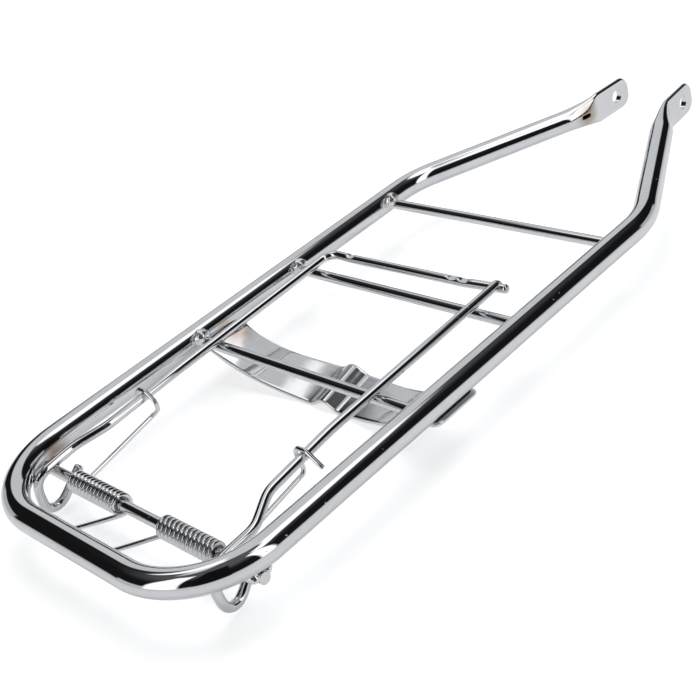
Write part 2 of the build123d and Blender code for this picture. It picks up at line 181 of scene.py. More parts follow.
def makeWorld(setup):
    world = bpy.data.worlds.new("studio")
    bpy.context.scene.world = world
    tree = emptyTree(world)
    split = addNode(tree, "SeparateXYZ", {0: addNode(tree, "TexCoord").outputs["Generated"]})
    turn = addNode(tree, "Math", {0: split.outputs["Y"], 1: split.outputs["X"]}, operation="ARCTAN2")
    azimuth = addNode(tree, "Math", {0: turn.outputs[0]}, operation="DEGREES")
    tilt = addNode(tree, "Math", {0: split.outputs["Z"]}, operation="ARCSINE")
    elevation = addNode(tree, "Math", {0: tilt.outputs[0]}, operation="DEGREES").outputs[0]
    low, high = setup["roomRamp"]
    ramp = {"Value": elevation, "From Min": low, "From Max": high}
    height = addNode(tree, "MapRange", ramp, interpolation_type="SMOOTHSTEP")
    room = {0: height.outputs[0], 1: hexColour(setup["roomLow"]), 2: hexColour(setup["roomHigh"])}
    room = addNode(tree, "MixRGB", room)
    soft, top = setup["edgeSoftness"], setup["tableEdgeTop"]
    ramp = {"Value": elevation, "From Min": top + soft, "From Max": top - soft}
    edge = addNode(tree, "MapRange", ramp, interpolation_type="SMOOTHSTEP")
    colour = {0: edge.outputs[0], 1: room.outputs[0], 2: hexColour(setup["tableEdge"])}
    colour = addNode(tree, "MixRGB", colour)
    for panel in setup["panels"]:
        # distance from the panel's middle, taken the short way round
        away = {0: azimuth.outputs[0], 1: panel["azimuth"] - 180.0}
        away = addNode(tree, "Math", away, operation="SUBTRACT")
        away = addNode(tree, "Math", {0: away.outputs[0], 1: 360.0}, operation="FLOORED_MODULO")
        away = addNode(tree, "Math", {0: away.outputs[0], 1: 180.0}, operation="SUBTRACT")
        away = addNode(tree, "Math", {0: away.outputs[0]}, operation="ABSOLUTE")
        fade = panel.get("soft", soft)
        mask = 1.0
        for value, start, end in (
            (away.outputs[0], panel["halfWidth"] + fade, panel["halfWidth"] - fade),
            (elevation, panel["low"] - fade, panel["low"] + fade),
            (elevation, panel["high"] + fade, panel["high"] - fade),
        ):
            ramp = {"Value": value, "From Min": start, "From Max": end}
            part = addNode(tree, "MapRange", ramp, interpolation_type="SMOOTHSTEP")
            mask = addNode(tree, "Math", {0: mask, 1: part.outputs[0]}, operation="MULTIPLY").outputs[0]
        glow = [c * panel["strength"] for c in hexColour(panel["colour"])[:3]] + [1.0]
        colour = addNode(tree, "MixRGB", {0: mask, 1: colour.outputs[0], 2: glow})
    path = addNode(tree, "LightPath")
    seen = {0: path.outputs["Is Camera Ray"], 1: colour.outputs[0], 2: (1, 1, 1, 1)}
    seen = addNode(tree, "MixRGB", seen)
    background = addNode(tree, "Background", {"Color": seen.outputs[0], "Strength": 1.0})
    addNode(tree, "OutputWorld", {0: background.outputs[0]})


def makeTable(setup):
    half = setup["size"] / 2
    level = cadBox[0].z - setup["sink"]
    corners = [(-half, -half, level), (half, -half, level), (half, half, level), (-half, half, level)]
    mesh = bpy.data.meshes.new("table")
    mesh.from_pydata(corners, [], [(0, 1, 2, 3)])
    table = bpy.data.objects.new("table", mesh)
    bpy.context.scene.collection.objects.link(table)
    paper = bpy.data.materials.new("matt white paper sweep")  # matt, so it shows only soft shadows
    tree = emptyTree(paper)
    diffuse = addNode(tree, "BsdfDiffuse", {"Color": hexColour(setup["colour"])})
    path = addNode(tree, "LightPath")
    place = addNode(tree, "TexCoord").outputs["Object"]
    reach = addNode(tree, "VectorMath", {0: place, 1: setup["mirrorMiddle"]}, operation="DISTANCE")
    near, far = setup["mirrorReach"]
    reach = {"Value": reach.outputs["Value"], "From Min": near, "From Max": far}
    reach.update({"To Min": setup["mirrorNear"], "To Max": setup["mirrorFar"]})
    mirror = addNode(tree, "MapRange", reach, interpolation_type="SMOOTHSTEP")
    mirrored = {0: path.outputs["Is Glossy Ray"], 1: path.outputs["Is Transmission Ray"]}
    mirrored = addNode(tree, "Math", mirrored, operation="MAXIMUM")
    mirrored = {0: mirrored.outputs[0], 1: mirror.outputs[0]}
    mirrored = addNode(tree, "Math", mirrored, operation="MULTIPLY")
    glow = {0: path.outputs["Is Camera Ray"], 1: setup["cameraLift"], 2: mirrored.outputs[0]}
    glow = addNode(tree, "Math", glow, operation="MULTIPLY_ADD")
    lift = addNode(tree, "Emission", {"Color": (1, 1, 1, 1), "Strength": glow.outputs[0]})
    total = addNode(tree, "AddShader", {0: diffuse.outputs[0], 1: lift.outputs[0]})
    addNode(tree, "OutputMaterial", {0: total.outputs[0]})
    mesh.materials.append(paper)


def makeLamp(setup):
    data = bpy.data.lights.new("overhead soft box", "AREA")
    data.size = setup["size"]
    data.energy = setup["watts"]
    lamp = bpy.data.objects.new("overheadSoftBox", data)
    lamp.location = setup["place"]
    lamp.rotation_euler = (Vector(setup["aim"]) - lamp.location).to_track_quat("-Z", "Y").to_euler()
    lamp.visible_glossy = False   # the world already draws the soft boxes that the chrome mirrors
    bpy.context.scene.collection.objects.link(lamp)


bpy.context.scene.view_settings.view_transform = "Standard"
makeWorld(studio)
makeTable(tableTop)
makeLamp(softBox)
print("studio ready")

chromeFinishes = {
    # Decorative chrome over nickel on drawn steel tube: a hard blue-white mirror with
    # faint length-wise polish lines, pin holes and a little buffing haze.
    "chromeOnDrawnTube": {
        "colour": "#e6e7e9", "dull": "#c3c4c7", "roughness": (0.035, 0.10),
        "peelSize": 9.0, "peelHeight": 0.010, "lineWidth": 0.35, "lineLength": 30.0, "lineHeight": 0.0019,
        "pitSpacing": 6.0, "pitSize": 0.42, "pitShare": 0.3, "mapped": True,
        # brown painted reflections, mixed into the plate colour where the chrome mirrors something brown
        "paintedReflections": [
            {"centre": (-79.0, 40.0, -2.5), "radius": 12.0, "colour": "#8a6a50", "strength": 0.8},
            {"centre": (-79.0, 160.0, -0.5), "radius": 9.0, "colour": "#b8987a", "strength": 0.5},
            {"centre": (-24.0, 438.0, 0.0), "radius": 12.0, "colour": "#a58a6c", "strength": 0.75},
            {"centre": (-78.0, 303.0, 3.0), "radius": 7.0, "colour": "#a08a74", "strength": 0.45},
        ],
    },
    # Chrome on bright drawn steel rod: the same mirror on a thinner bar.
    "chromeOnSteelRod": {
        "colour": "#e3e4e6", "dull": "#bcbdc0", "roughness": (0.04, 0.11),
        "peelSize": 6.0, "peelHeight": 0.006, "lineWidth": 0.25, "lineLength": 20.0, "lineHeight": 0.001,
        "pitSpacing": 7.0, "pitSize": 0.3, "pitShare": 0.14, "mapped": False, "paintedReflections": [],
    },
    # Chrome on hand-bent steel wire.
    "chromeOnBentWire": {
        "colour": "#e2e3e5", "dull": "#b9babd", "roughness": (0.04, 0.12),
        "peelSize": 5.0, "peelHeight": 0.007, "lineWidth": 0.25, "lineLength": 14.0, "lineHeight": 0.001,
        "pitSpacing": 6.0, "pitSize": 0.3, "pitShare": 0.16, "mapped": True, "paintedReflections": [],
    },
    # Plated spring steel: slightly greyer, because the plate is thin between the turns.
    "platedSpringSteel": {
        "colour": "#e4e5e7", "dull": "#adaeb1", "roughness": (0.05, 0.14),
        "peelSize": 3.0, "peelHeight": 0.004, "lineWidth": 0.2, "lineLength": 8.0, "lineHeight": 0.001,
        "pitSpacing": 5.0, "pitSize": 0.25, "pitShare": 0.2, "mapped": True,
        # a brown painted reflection near the pivot, mixed into the plate colour
        "paintedReflections": [{"centre": (57.0, 35.2, -10.1), "radius": 7.5, "colour": "#7d6a55", "strength": 0.7}],
    },
    # Chrome on pressed steel strip: the soft waves of the pressing show in the mirror.
    "chromeOnPressedStrip": {
        "colour": "#dfe0e2", "dull": "#b3b4b6", "roughness": (0.05, 0.15),
        "peelSize": 19.0, "peelHeight": 0.16, "lineWidth": 0.4, "lineLength": 25.0, "lineHeight": 0.0012,
        "pitSpacing": 8.0, "pitSize": 0.35, "pitShare": 0.16, "mapped": False,
        # brown painted reflections on the strip, by the left tube and in the middle, mixed into the plate
        # colour
        "paintedReflections": [
            {"centre": (-80.0, 167.0, -12.0), "radius": 17.0, "colour": "#a4846a", "strength": 0.8},
            {"centre": (-6.0, 154.0, -20.0), "radius": 9.0, "colour": "#c9ae90", "strength": 0.6},
        ],
    },
    # Chrome over a weld bead, which keeps the ripples and a little scale at its edge.
    "chromeOverWeld": {
        "colour": "#f6f6f6", "dull": "#d8d4ce", "roughness": (0.15, 0.3), "metallic": 0.85,
        "peelSize": 1.8, "peelHeight": 0.042, "lineWidth": 0.5, "lineLength": 2.0, "lineHeight": 0.01,
        "pitSpacing": 3.0, "pitSize": 0.4, "pitShare": 0.3, "mapped": False, "paintedReflections": [],
    },
}


wearAndPaintedReflection = {
    # what every chromed finish shares, wear and painted reflections alike: sizes in mm, the rest as
    # shares
    "hazeSize": 22.0,
    "hazeRange": (0.42, 0.72),
    "hazeTop": 0.6,
    "lineRange": (0.55, 0.75),
    "wornDull": 0.35,
    "pitCore": 0.4,
    "pitDull": 0.9,
    "pitRough": 0.3,
    "pitDepth": 0.06,
    "reflectionReach": (1.4, 0.5),        # where a painted reflection starts and where it is full, in its radius
    "reflectionMottle": 0.8,
}


def chrome(name, look):
    material = bpy.data.materials.new(name)
    tree = emptyTree(material)
    coords = addNode(tree, "TexCoord")
    place = coords.outputs["Object"]
    # u runs along the piece and v round it, both in metres
    along = coords.outputs["UV"] if look["mapped"] else place
    peel = {"Vector": place, "Scale": 1000 / look["peelSize"], "Detail": 2.0, "Roughness": 0.45}
    peel = addNode(tree, "TexNoise", peel)
    stretch = (1000 / look["lineLength"], 1000 / look["lineWidth"], 1000 / look["lineWidth"])
    lines = addNode(tree, "Mapping", {"Vector": along, "Scale": stretch})
    lines = {"Vector": lines.outputs[0], "Scale": 1.0, "Detail": 3.0, "Roughness": 0.6}
    lines = addNode(tree, "TexNoise", lines)
    haze = {"Vector": place, "Scale": 1000 / wearAndPaintedReflection["hazeSize"], "Detail": 4.0, "Roughness": 0.65}
    haze = addNode(tree, "TexNoise", haze)
    pits = addNode(tree, "TexVoronoi", {"Vector": place, "Scale": 1000 / look["pitSpacing"]})
    chosen = addNode(tree, "SeparateColor", {0: pits.outputs["Color"]})
    chosen = {0: chosen.outputs[0], 1: look["pitShare"]}
    chosen = addNode(tree, "Math", chosen, operation="LESS_THAN")
    pitReach = look["pitSize"] / look["pitSpacing"]
    pitMask = {"Value": pits.outputs["Distance"], "From Min": pitReach}
    pitMask.update({"From Max": pitReach * wearAndPaintedReflection["pitCore"], "To Max": chosen.outputs[0]})
    pitMask = addNode(tree, "MapRange", pitMask, interpolation_type="SMOOTHSTEP").outputs[0]
    # haze and polish lines dull the mirror a little, pits dull it more
    low, high = wearAndPaintedReflection["hazeRange"]
    worn = {"Value": haze.outputs[0], "From Min": low, "From Max": high, "To Max": wearAndPaintedReflection["hazeTop"]}
    worn = addNode(tree, "MapRange", worn)
    low, high = wearAndPaintedReflection["lineRange"]
    lineWear = {"Value": lines.outputs[0], "From Min": low, "From Max": high}
    lineWear = addNode(tree, "MapRange", lineWear)
    worn = {0: worn.outputs[0], 1: lineWear.outputs[0]}
    worn = addNode(tree, "Math", worn, operation="MAXIMUM").outputs[0]
    low, high = look["roughness"]
    rough = addNode(tree, "MapRange", {"Value": worn, "To Min": low, "To Max": high})
    rough = {0: pitMask, 1: wearAndPaintedReflection["pitRough"], 2: rough.outputs[0]}
    rough = addNode(tree, "Math", rough, operation="MULTIPLY_ADD").outputs[0]
    dull = addNode(tree, "Math", {0: worn, 1: wearAndPaintedReflection["wornDull"]}, operation="MULTIPLY")
    pitDull = addNode(tree, "Math", {0: pitMask, 1: wearAndPaintedReflection["pitDull"]}, operation="MULTIPLY")
    dull = {0: dull.outputs[0], 1: pitDull.outputs[0]}
    dull = addNode(tree, "Math", dull, operation="MAXIMUM").outputs[0]
    colour = {0: dull, 1: hexColour(look["colour"]), 2: hexColour(look["dull"])}
    colour = addNode(tree, "MixRGB", colour)
    for paintedReflection in look["paintedReflections"]:
        # painted reflection: a brown patch mixed into the plate colour in place of something brown that
        # the chrome mirrors, with a mottled edge
        radius = paintedReflection["radius"] * 0.001
        reach = {0: place, 1: atFrame(paintedReflection["centre"])}
        reach = addNode(tree, "VectorMath", reach, operation="DISTANCE").outputs["Value"]
        reach = {0: haze.outputs[0], 1: radius * wearAndPaintedReflection["reflectionMottle"], 2: reach}
        reach = addNode(tree, "Math", reach, operation="MULTIPLY_ADD").outputs[0]
        outer, inner = wearAndPaintedReflection["reflectionReach"]
        mask = {"Value": reach, "From Min": radius * outer, "From Max": radius * inner}
        mask["To Max"] = paintedReflection["strength"]
        mask = addNode(tree, "MapRange", mask, interpolation_type="SMOOTHSTEP")
        colour = {0: mask.outputs[0], 1: colour.outputs[0], 2: hexColour(paintedReflection["colour"])}
        colour = addNode(tree, "MixRGB", colour)
    height = {0: peel.outputs[0], 1: look["peelHeight"] * 0.001}
    height = addNode(tree, "Math", height, operation="MULTIPLY").outputs[0]
    height = {0: lines.outputs[0], 1: look["lineHeight"] * 0.001, 2: height}
    height = addNode(tree, "Math", height, operation="MULTIPLY_ADD").outputs[0]
    height = {0: pitMask, 1: wearAndPaintedReflection["pitDepth"] * -0.001, 2: height}
    height = addNode(tree, "Math", height, operation="MULTIPLY_ADD").outputs[0]
    bump = addNode(tree, "Bump", {"Height": height, "Strength": 1.0, "Distance": 1.0})
    surface = {"Base Color": colour.outputs[0], "Metallic": look.get("metallic", 1.0)}
    surface.update({"Roughness": rough, "Normal": bump.outputs[0]})
    shader = addNode(tree, "BsdfPrincipled", surface)
    addNode(tree, "OutputMaterial", {0: shader.outputs[0]})
    return material


def rawSteel():
    # bare, slightly rusty steel inside the holes, where no plate reached
    material = bpy.data.materials.new("rawSteelInsideHoles")
    tree = emptyTree(material)
    place = addNode(tree, "TexCoord").outputs["Object"]
    grainSize = 0.8     # mm
    grain = addNode(tree, "TexNoise", {"Vector": place, "Scale": 1000 / grainSize, "Detail": 4.0})
    colour = {0: grain.outputs[0], 1: hexColour("#2b2420"), 2: hexColour("#5a4636")}
    colour = addNode(tree, "MixRGB", colour)
    surface = {"Base Color": colour.outputs[0], "Metallic": 0.4, "Roughness": 0.65}
    shader = addNode(tree, "BsdfPrincipled", surface)
    addNode(tree, "OutputMaterial", {0: shader.outputs[0]})
    return material


finish = {name: chrome(name, look) for name, look in chromeFinishes.items()}
finish["rawSteel"] = rawSteel()
print("finishes made:", len(finish))


def bentTrack(corners, arcStep=3.0, runStep=5.0):
    # corners are (point, bend radius); returns points with their directions
    track = []
    last = corners[0][0]
    for i in range(1, len(corners)):
        here, radius = corners[i]
        intoBend = (here - corners[i - 1][0]).normalized()
        runEnd = here
        arc = []
        if i < len(corners) - 1 and radius:
            outOfBend = (corners[i + 1][0] - here).normalized()
            angle = intoBend.angle(outOfBend)
            cut = radius * math.tan(angle / 2)
            runEnd = here - intoBend * cut
            axis = intoBend.cross(outOfBend).normalized()
            middle = runEnd + axis.cross(intoBend) * radius
            steps = max(2, math.ceil(math.degrees(angle) / arcStep))
            for k in range(1, steps + 1):
                turn = Matrix.Rotation(angle * k / steps, 3, axis)
                arc.append((middle + turn @ (runEnd - middle), turn @ intoBend))
        pieces = max(1, math.ceil((runEnd - last).length / runStep))
        for k in range(1 if track else 0, pieces + 1):
            track.append((last.lerp(runEnd, k / pieces), intoBend))
        track += arc
        last = track[-1][0]
    return track


def ringsAlong(track, ringAt, reference):
    # carries a section along the track without twist; ringAt gives (side, up) pairs
    rings, side = [], None
    for i, (point, direction) in enumerate(track):
        if side is None:
            side = direction.cross(reference).normalized()
        else:
            side.rotate(previous.rotation_difference(direction))
            side = (side - direction * side.dot(direction)).normalized()
        up = side.cross(direction)
        rings.append([point + side * a + up * b for a, b in ringAt(i)])
        previous = direction
    return rings


def skin(name, rings, material, body, extra=()):
    # joins rings of equal length into a closed skin with flat ends and a map in metres
    count = len(rings[0])
    points = [atFrame(p) for ring in rings for p in ring]
    faces, maps = [], []
    reach = [0.0]
    for a, b in zip(rings, rings[1:]):
        middleA = sum(a, Vector()) / count
        middleB = sum(b, Vector()) / count
        reach.append(reach[-1] + (middleB - middleA).length * 0.001)
    girth = max((ring[0] - ring[count // 2]).length for ring in rings) * math.pi * 0.001
    for i in range(len(rings) - 1):
        for k in range(count):
            n = (k + 1) % count
            faces.append((i * count + k, i * count + n, (i + 1) * count + n, (i + 1) * count + k))
            v0, v1 = girth * k / count, girth * (k + 1) / count
            maps += [(reach[i], v0), (reach[i], v1), (reach[i + 1], v1), (reach[i + 1], v0)]
    for start, ring in ((0, range(count - 1, -1, -1)), ((len(rings) - 1) * count, range(count))):
        faces.append(tuple(start + k for k in ring))
        maps += [(reach[-1] if start else 0.0, girth * k / count) for k in ring]
    mesh = bpy.data.meshes.new(name)
    mesh.from_pydata(points, [], faces)
    layer = mesh.uv_layers.new(name="UVMap")
    layer.data.foreach_set("uv", [c for uv in maps for c in uv])
    return finishPiece(name, mesh, (material, *extra), body)


# edges that turn by more than this many degrees stay crisp
crispAngle = {"wireAndTube": 38.0, "sheetAndWeld": 60.0}


def finishPiece(name, mesh, materials, body, sharpAngle=crispAngle["wireAndTube"]):
    mesh.polygons.foreach_set("use_smooth", [True] * len(mesh.polygons))
    mesh.set_sharp_from_angle(angle=math.radians(sharpAngle))
    for material in materials:
        mesh.materials.append(material)
    piece = bpy.data.objects.new(name, mesh)
    bpy.context.scene.collection.objects.link(piece)
    if body:
        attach(piece, body)
    return piece


def softened(track, rounds, inside, spacing=1.2):
    # evens out the bends where inside(point) is true, as wire bent by hand round a peg
    spots = [station[0] for station in track]
    points, left = [spots[0].copy()], 0.0
    for a, b in zip(spots, spots[1:]):
        run = (b - a).length
        while left + spacing <= run:
            left += spacing
            points.append(a.lerp(b, left / run))
        left -= run
    if (spots[-1] - points[-1]).length < spacing / 2:
        points.pop()
    points.append(spots[-1].copy())
    for turn in range(rounds):
        old = [p.copy() for p in points]
        for i in range(1, len(points) - 1):
            if inside(old[i]):
                points[i] = old[i] * 0.5 + (old[i - 1] + old[i + 1]) * 0.25
    ways = [(b - a).normalized() for a, b in zip(points, points[1:])]
    joined = [ways[0]] + [(a + b).normalized() for a, b in zip(ways, ways[1:])] + [ways[-1]]
    return list(zip(points, joined))


wireLooks = {
    # rounding of a cut end: share of its length, share of the wire's radius
    "cutEnd": ((0.0, 0.5), (0.2, 0.76), (0.5, 0.92), (1.0, 1.0)),
    "reference": Vector((0.13, 0.2, 1.0)),      # any direction that no wire follows
}


def wire(name, track, radius, material, body, around, endRound, dents=()):
    # round wire; a dent is (place, half length, share of the radius pressed in)
    (start, startWay), (end, endWay) = track[0], track[-1]
    steps = [(endRound * reach, share) for reach, share in wireLooks["cutEnd"]]
    opening = [(start + startWay * d, startWay) for d, share in steps]
    closing = [(end - endWay * d, endWay) for d, share in reversed(steps)]
    full = opening + track[1:-1] + closing
    ends = [share for d, share in steps]
    shares = ends + [1.0] * (len(track) - 2) + ends[::-1]
    angles = [math.tau * k / around for k in range(around)]
    circle = [(math.cos(t) * radius, math.sin(t) * radius) for t in angles]
    rings = ringsAlong(
        full, lambda i: [(a * shares[i], b * shares[i]) for a, b in circle], wireLooks["reference"])
    for place, half, depth in dents:
        for ring, (point, way) in zip(rings, full):
            reach = (point - place).length / half
            if reach < 1:
                flat = radius * (1 - depth * (1 - reach ** 4))
                for spot in ring:
                    spot.z = min(spot.z, point.z + flat)
    return skin(name, rings, material, body)


def flipped(track):
    # the mirror image across the middle plane
    return [(Vector((-p.x, p.y, p.z)), Vector((-d.x, d.y, d.z))) for p, d in track]


tube = {
    "radius": 7.0,
    "halfWidth": 85.0,
    "rearCorner": 46.0,
    "sideLength": 332.0,
    "armBend": 58.0,
    "earX": 24.6,
    "toeIn": 5.4,
    "earHalfThick": 1.7,
    "earHalfHeight": 10.0,
    "earFront": 12.0,
    "earCorner": 7.0,
    "knuckleBack": 22.7,
    "pressRound": 19.0,
    "pressFlat": 5.0,
    "boltHole": 4.25,
    "vent": (7.0, 2.8),
    "ventBack": 9.0,
    "around": 96,
    "pressSteps": 18,
    "earSteps": 14,
    "cornerSteps": 10,
    "holeSteps": 64,
    "slotSteps": 15,
    "drillSteps": 24,
    "boltCut": (12.0, 24.0),        # where the cut starts across the rack, and its length
    "ventCut": 14.0,
    "drillCut": 7.0,
}

spring = {
    "wire": 1.2,
    "meanRadius": 4.7,
    "turns": 13,
    "pitch": 3.1,
    "innerX": 15.8,
    "armSlope": 9.4,
    "tailSlope": 24.1,
    "tailEndY": 4.0,
    "tailHole": 1.5,
    "lead": 2.0,                    # straight part at each end, in wire radii
    "stepsPerTurn": 40,
    "around": 20,
    "endRound": 0.3,
    "hookBend": 3.0,
    "hookDrop": 1.3,
    "leftHookY": 89.0,
    "rightHookY": 91.5,
    # steps across and up from the middle of the clamp's leg
    "leftHook": [(-9.2, -5.4), (-9.4, -0.6), (-3.0, 4.0), (2.6, 4.0), (7.7, -1.9)],
    "rightHook": [(-5.3, 0.9), (-2.6, 4.0), (3.2, 4.0), (12.2, -2.6)],
}

pivot = {"y": 35.2, "z": -10.1, "radius": 3.0}


def armPoints(t):
    # the right arm's end: where it stops being round, its knuckle and where it is flat
    toe = math.radians(t["toeIn"])
    earWay = Vector((-math.sin(toe), math.cos(toe), 0))
    knuckle = Vector((t["earX"], boltReach, 0)) - earWay * (t["knuckleBack"] / math.cos(toe))
    armWay = (knuckle - Vector((t["halfWidth"], t["sideLength"], 0))).normalized()
    return knuckle - armWay * t["pressRound"], knuckle, knuckle + earWay * t["pressFlat"], armWay, earWay


def arcThrough(a, b, c, steps):
    # points on the circle through a, b and c, from a up to but without c
    ax, ay, bx, by, cx, cy = *a, *b, *c
    d = 2 * (ax * (by - cy) + bx * (cy - ay) + cx * (ay - by))
    squareA, squareB, squareC = ax * ax + ay * ay, bx * bx + by * by, cx * cx + cy * cy
    ux = (squareA * (by - cy) + squareB * (cy - ay) + squareC * (ay - by)) / d
    uy = (squareA * (cx - bx) + squareB * (ax - cx) + squareC * (bx - ax)) / d
    first = math.atan2(ay - uy, ax - ux)
    sweep = (math.atan2(cy - uy, cx - ux) - first) % math.tau
    if (math.atan2(by - uy, bx - ux) - first) % math.tau > sweep:
        sweep -= math.tau
    reach = math.hypot(ax - ux, ay - uy)
    angles = [first + sweep * k / steps for k in range(steps)]
    return [(ux + reach * math.cos(g), uy + reach * math.sin(g)) for g in angles]


def pressedRing(t, flatness, halfHeight, thin=1.0):
    # round at flatness 0, pressed flat at 1
    r, half = t["radius"], t["earHalfThick"] * thin
    roundShape = (r, r, r / 2, r * math.sqrt(3) / 2)
    flatShape = (half + 0.05, halfHeight, half, halfHeight - half)
    shape = [a * (1 - flatness) + b * flatness for a, b in zip(roundShape, flatShape)]
    side, top, cornerX, cornerY = shape
    long, short = t["around"] // 3, t["around"] // 6
    ring = arcThrough((cornerX, -cornerY), (side, 0), (cornerX, cornerY), long)
    ring += arcThrough((cornerX, cornerY), (0, top), (-cornerX, cornerY), short)
    ring += arcThrough((-cornerX, cornerY), (-side, 0), (-cornerX, -cornerY), long)
    ring += arcThrough((-cornerX, -cornerY), (0, -top), (cornerX, -cornerY), short)
    return ring


def tubeStations(t):
    # (point, direction, flatness, half height, thinness) from the left ear to the right one
    roundEnd, knuckle, flatStart, armWay, earWay = armPoints(t)
    ending = []
    for k in range(1, t["pressSteps"] + 1):
        s = k / t["pressSteps"]
        point = roundEnd * (1 - s) ** 2 + knuckle * (2 * s * (1 - s)) + flatStart * s ** 2
        way = (armWay * (1 - s) + earWay * s).normalized()
        ending.append((point, way, s, t["earHalfHeight"], 1.0))
    earLength = t["knuckleBack"] - t["pressFlat"] + t["earFront"]
    for k in range(1, t["earSteps"] + 1):
        d = (earLength - t["earCorner"]) * k / t["earSteps"]
        ending.append((flatStart + earWay * d, earWay, 1.0, t["earHalfHeight"], 1.0))
    for k in range(1, t["cornerSteps"] + 1):
        turn = math.radians(90 * k / t["cornerSteps"])
        d = earLength - t["earCorner"] * (1 - math.sin(turn))
        height = t["earHalfHeight"] - t["earCorner"] * (1 - math.cos(turn))
        ending.append((flatStart + earWay * min(d, earLength - 0.3), earWay, 1.0, height, 1.0))
    ending.append((flatStart + earWay * earLength, earWay, 1.0, height - 0.3, 0.8))
    w = t["halfWidth"]
    corners = [
        (Vector((-roundEnd.x, roundEnd.y, 0)), None),
        (Vector((-w, t["sideLength"], 0)), t["armBend"]),
        (Vector((-w, 0, 0)), t["rearCorner"]),
        (Vector((w, 0, 0)), t["rearCorner"]),
        (Vector((w, t["sideLength"], 0)), t["armBend"]),
        (roundEnd, None),
    ]
    track = bentTrack(corners, arcStep=2.0, runStep=4.0)
    middle = [(p, d, 0.0, t["earHalfHeight"], 1.0) for p, d in track]
    opening = []
    for point, way, flatness, height, thin in reversed(ending):
        mirrorPoint, mirrorWay = Vector((-point.x, point.y, 0)), Vector((way.x, -way.y, 0))
        opening.append((mirrorPoint, mirrorWay, flatness, height, thin))
    return opening + middle + ending


def prism(outline, axis, start, length, up):
    # closed bar with the given outline, for cutting a hole
    side = up.cross(axis).normalized()
    ends = []
    for d in (0.0, length):
        ends.append([start + axis * d + side * a + up * b for a, b in outline])
    count = len(outline)
    faces = [(k, (k + 1) % count, count + (k + 1) % count, count + k) for k in range(count)]
    faces += [tuple(range(count - 1, -1, -1)), tuple(range(count, 2 * count))]
    return [p for end in ends for p in end], faces


def tubeCutters(t, s):
    # bolt holes, vent slots and the drilled holes for the spring tails
    roundEnd, knuckle, flatStart, armWay, earWay = armPoints(t)
    parts = []
    angles = [math.tau * k / t["holeSteps"] for k in range(t["holeSteps"])]
    hole = [(t["boltHole"] * math.cos(g), t["boltHole"] * math.sin(g)) for g in angles]
    length, width = t["vent"]
    slotEnd = length / 2 - width / 2
    slot = []
    for k in range(t["slotSteps"] + 1):
        g = math.pi * k / t["slotSteps"]
        slot.append((slotEnd + width / 2 * math.sin(g), -width / 2 * math.cos(g)))
    slot += [(-a, -b) for a, b in slot]
    angles = [math.tau * k / t["drillSteps"] for k in range(t["drillSteps"])]
    drill = [(s["tailHole"] * math.cos(g), s["tailHole"] * math.sin(g)) for g in angles]
    slope = math.radians(s["tailSlope"])
    up = Vector((0, 0, 1))
    boltStart, boltLength = t["boltCut"]
    for hand in (-1, 1):
        start = Vector((hand * boltStart, boltReach, 0))
        parts.append((0, prism(hole, Vector((hand, 0, 0)), start, boltLength, up)))
        vent = knuckle - armWay * t["ventBack"]
        start = Vector((hand * vent.x, vent.y, 0))
        parts.append((1, prism(slot, Vector((-hand, 0, 0)), start, t["ventCut"], up)))
        tail = springTailEnd(s)
        start = Vector((hand * tail.x, tail.y, tail.z))
        way = Vector((0, math.cos(slope), -math.sin(slope)))
        parts.append((1, prism(drill, way, start, t["drillCut"], way.cross(Vector((1, 0, 0))))))
    points, faces, slots = [], [], []
    for materialSlot, (partPoints, partFaces) in parts:
        faces += [tuple(i + len(points) for i in face) for face in partFaces]
        slots += [materialSlot] * len(partFaces)
        points += [atFrame(p) for p in partPoints]
    mesh = bpy.data.meshes.new("tubeCutters")
    mesh.from_pydata(points, [], faces)
    for material in (finish["chromeOnDrawnTube"], finish["rawSteel"]):
        mesh.materials.append(material)
    mesh.polygons.foreach_set("material_index", slots)
    mesh.update()
    return mesh


def springTailEnd(s):
    slope = math.radians(s["tailSlope"])
    leaveY = pivot["y"] - s["meanRadius"] * math.sin(slope)
    leaveZ = pivot["z"] - s["meanRadius"] * math.cos(slope)
    return Vector((s["innerX"], s["tailEndY"], leaveZ + (leaveY - s["tailEndY"]) * math.tan(slope)))


def makeTube(t, s):
    stations = tubeStations(t)
    track = [(p, d) for p, d, flatness, height, thin in stations]
    shapes = [pressedRing(t, flatness, height, thin) for p, d, flatness, height, thin in stations]
    rings = ringsAlong(track, lambda i: shapes[i], Vector((0, 0, 1)))
    piece = skin("frameTube", rings, finish["chromeOnDrawnTube"], None, (finish["rawSteel"],))
    cutterMesh = tubeCutters(t, s)
    cutter = bpy.data.objects.new("tubeCutters", cutterMesh)
    bpy.context.scene.collection.objects.link(cutter)
    holes = piece.modifiers.new("holes", "BOOLEAN")
    holes.operation = "DIFFERENCE"
    holes.solver = "EXACT"
    holes.object = cutter
    cutMesh = bpy.data.meshes.new_from_object(piece.evaluated_get(bpy.context.evaluated_depsgraph_get()))
    piece.modifiers.clear()
    piece.data = cutMesh
    cutMesh.set_sharp_from_angle(angle=math.radians(crispAngle["wireAndTube"]))
    bpy.data.objects.remove(cutter)
    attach(piece, "rack")
    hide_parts("rear_bow", "left_side_tube", "right_side_tube")


makeTube(tube, spring)
print("frame tube bent, pressed and drilled")

for nodeName in ("front_cross_rod", "middle_cross_rod", "rear_cross_rod", "pivot_rod"):
    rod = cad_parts[nodeName]
    rod.data.materials.clear()
    rod.data.materials.append(finish["chromeOnSteelRod"])
print("rods plated")

